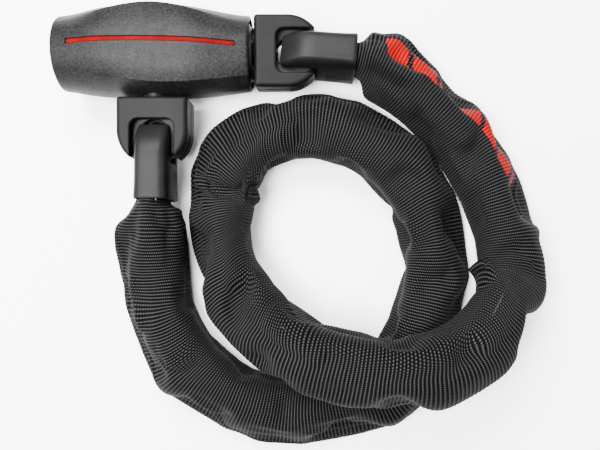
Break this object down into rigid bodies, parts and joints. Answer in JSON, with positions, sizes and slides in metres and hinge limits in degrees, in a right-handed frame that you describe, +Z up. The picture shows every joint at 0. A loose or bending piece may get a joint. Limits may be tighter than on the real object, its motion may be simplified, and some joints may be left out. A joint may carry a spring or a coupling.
{
  "type": "chain lock",
  "caption": "Barrel lock with a pull-out locking eye bolt and a swivel eye, joined by a steel chain in a ribbed black fabric sleeve lying in a coil.",
  "frame": {"origin": "centre of the flat land under the barrel, on the rest plane", "axes": "+X along the barrel axis towards the swivel eye, +Y away from the chain coil, +Z up"},
  "size_m": [0.2358, 0.2173, 0.0669],
  "materials": {
    "case_plastic": "fine spark-eroded texture, near black",
    "boot_rubber": "satin moulded rubber, near black",
    "eye_plastic": "fine moulded texture, near black",
    "red_inlay": "semi-gloss red",
    "sleeve_fabric": "black ribbed woven polyester with red printed patches",
    "hardened_steel": "hardened, dull plated",
    "plated_steel": "bright zinc plate",
    "brass": "turned",
    "bronze": "sintered bush"
  },
  "bodies": {
    "lock_case": {"case_front_shell": "case_plastic", "case_back_shell": "case_plastic", "red_inlay_strip": "red_inlay", "case_screw_left": "plated_steel", "case_screw_right": "plated_steel", "left_end_cap": "case_plastic", "dust_cover_pin": "plated_steel", "right_end_collar": "case_plastic", "lock_core_housing": "hardened_steel", "pawl_spring": "plated_steel", "bolt_ejector_spring": "plated_steel", "swivel_bush": "bronze", "right_link_boot_top": "boot_rubber", "right_link_boot_bottom": "boot_rubber", "right_end_link": "hardened_steel", "fabric_sleeve": "sleeve_fabric", "chain_link_06": "hardened_steel", "chain_link_07": "hardened_steel", "chain_link_08": "hardened_steel", "chain_link_09": "hardened_steel", "chain_link_10": "hardened_steel", "chain_link_11": "hardened_steel", "chain_link_12": "hardened_steel", "chain_link_13": "hardened_steel", "chain_link_14": "hardened_steel", "chain_link_15": "hardened_steel", "chain_link_16": "hardened_steel", "chain_link_17": "hardened_steel", "chain_link_18": "hardened_steel", "chain_link_19": "hardened_steel", "chain_link_20": "hardened_steel", "chain_link_21": "hardened_steel", "chain_link_22": "hardened_steel", "chain_link_23": "hardened_steel", "chain_link_24": "hardened_steel", "chain_link_25": "hardened_steel", "chain_link_26": "hardened_steel", "chain_link_27": "hardened_steel"},
    "key_plug": {"key_plug": "brass", "plug_cam": "plated_steel", "plug_clip": "plated_steel"},
    "pawl": {"locking_pawl": "plated_steel"},
    "dust_cover": {"dust_cover": "case_plastic"},
    "bolt": {"locking_eye_bolt": "plated_steel", "left_eye_cover_top": "eye_plastic", "left_eye_cover_bottom": "eye_plastic"},
    "left_end": {"left_end_link": "hardened_steel", "left_link_boot_top": "boot_rubber", "left_link_boot_bottom": "boot_rubber", "sleeve_cuff": "sleeve_fabric"},
    "swivel": {"swivel_eye": "plated_steel", "swivel_retainer_ring": "plated_steel", "right_eye_cover_top": "eye_plastic", "right_eye_cover_bottom": "eye_plastic"},
    "slack_link_1": {"chain_link_01": "hardened_steel"},
    "slack_link_2": {"chain_link_02": "hardened_steel"},
    "slack_link_3": {"chain_link_03": "hardened_steel"},
    "slack_link_4": {"chain_link_04": "hardened_steel"},
    "slack_link_5": {"chain_link_05": "hardened_steel"}
  },
  "joints": [
    {"name": "key_turn", "type": "hinge", "parent": "lock_case", "child": "key_plug", "pos_m": [-0.03, 0, 0.02], "axis": [1, 0, 0], "range_deg": [-90.2, 0.2]},
    {"name": "pawl_throw", "type": "slide", "parent": "lock_case", "child": "pawl", "axis": [1, 0, 0], "range_m": [0, 0.0018]},
    {"name": "dust_cover_swing", "type": "hinge", "parent": "lock_case", "child": "dust_cover", "pos_m": [-0.046, 0, 0.0288], "axis": [1, 0, 0], "range_deg": [0, 50]},
    {"name": "bolt_pull", "type": "slide", "parent": "lock_case", "child": "bolt", "axis": [0, -1, 0], "range_m": [0, 0.02]},
    {"name": "left_end_follow", "type": "slide", "parent": "lock_case", "child": "left_end", "axis": [0, -1, 0], "range_m": [-0.0002, 0.0202]},
    {"name": "swivel_turn", "type": "hinge", "parent": "lock_case", "child": "swivel", "pos_m": [0.045, 0, 0.02], "axis": [1, 0, 0], "range_deg": [-12, 1.5]},
    {"name": "slack_1", "type": "slide", "parent": "lock_case", "child": "slack_link_1", "axis": [0, -1, 0], "range_m": [-0.0002, 0.02]},
    {"name": "slack_2", "type": "hinge", "parent": "lock_case", "child": "slack_link_2", "pos_m": [0.067, -0.113, 0.02], "axis": [0, 0, 1], "range_deg": [-0.2, 13.45]},
    {"name": "slack_3", "type": "hinge", "parent": "lock_case", "child": "slack_link_3", "pos_m": [0.067, -0.113, 0.02], "axis": [0, 0, 1], "range_deg": [-0.2, 10.14]},
    {"name": "slack_4", "type": "hinge", "parent": "lock_case", "child": "slack_link_4", "pos_m": [0.067, -0.113, 0.02], "axis": [0, 0, 1], "range_deg": [-0.2, 6.83]},
    {"name": "slack_5", "type": "hinge", "parent": "lock_case", "child": "slack_link_5", "pos_m": [0.067, -0.113, 0.02], "axis": [0, 0, 1], "range_deg": [-0.2, 3.51]}
  ],
  "couplings": [
    {"joint": "key_turn", "follows": "pawl_throw", "rad_per_m": -872.66},
    {"joint": "left_end_follow", "follows": "bolt_pull", "ratio": 1},
    {"joint": "slack_1", "follows": "bolt_pull", "ratio": 0.99},
    {"joint": "slack_2", "follows": "bolt_pull", "rad_per_m": 11.562},
    {"joint": "slack_3", "follows": "bolt_pull", "rad_per_m": 8.6715},
    {"joint": "slack_4", "follows": "bolt_pull", "rad_per_m": 5.781},
    {"joint": "slack_5", "follows": "bolt_pull", "rad_per_m": 2.8905}
  ]
}
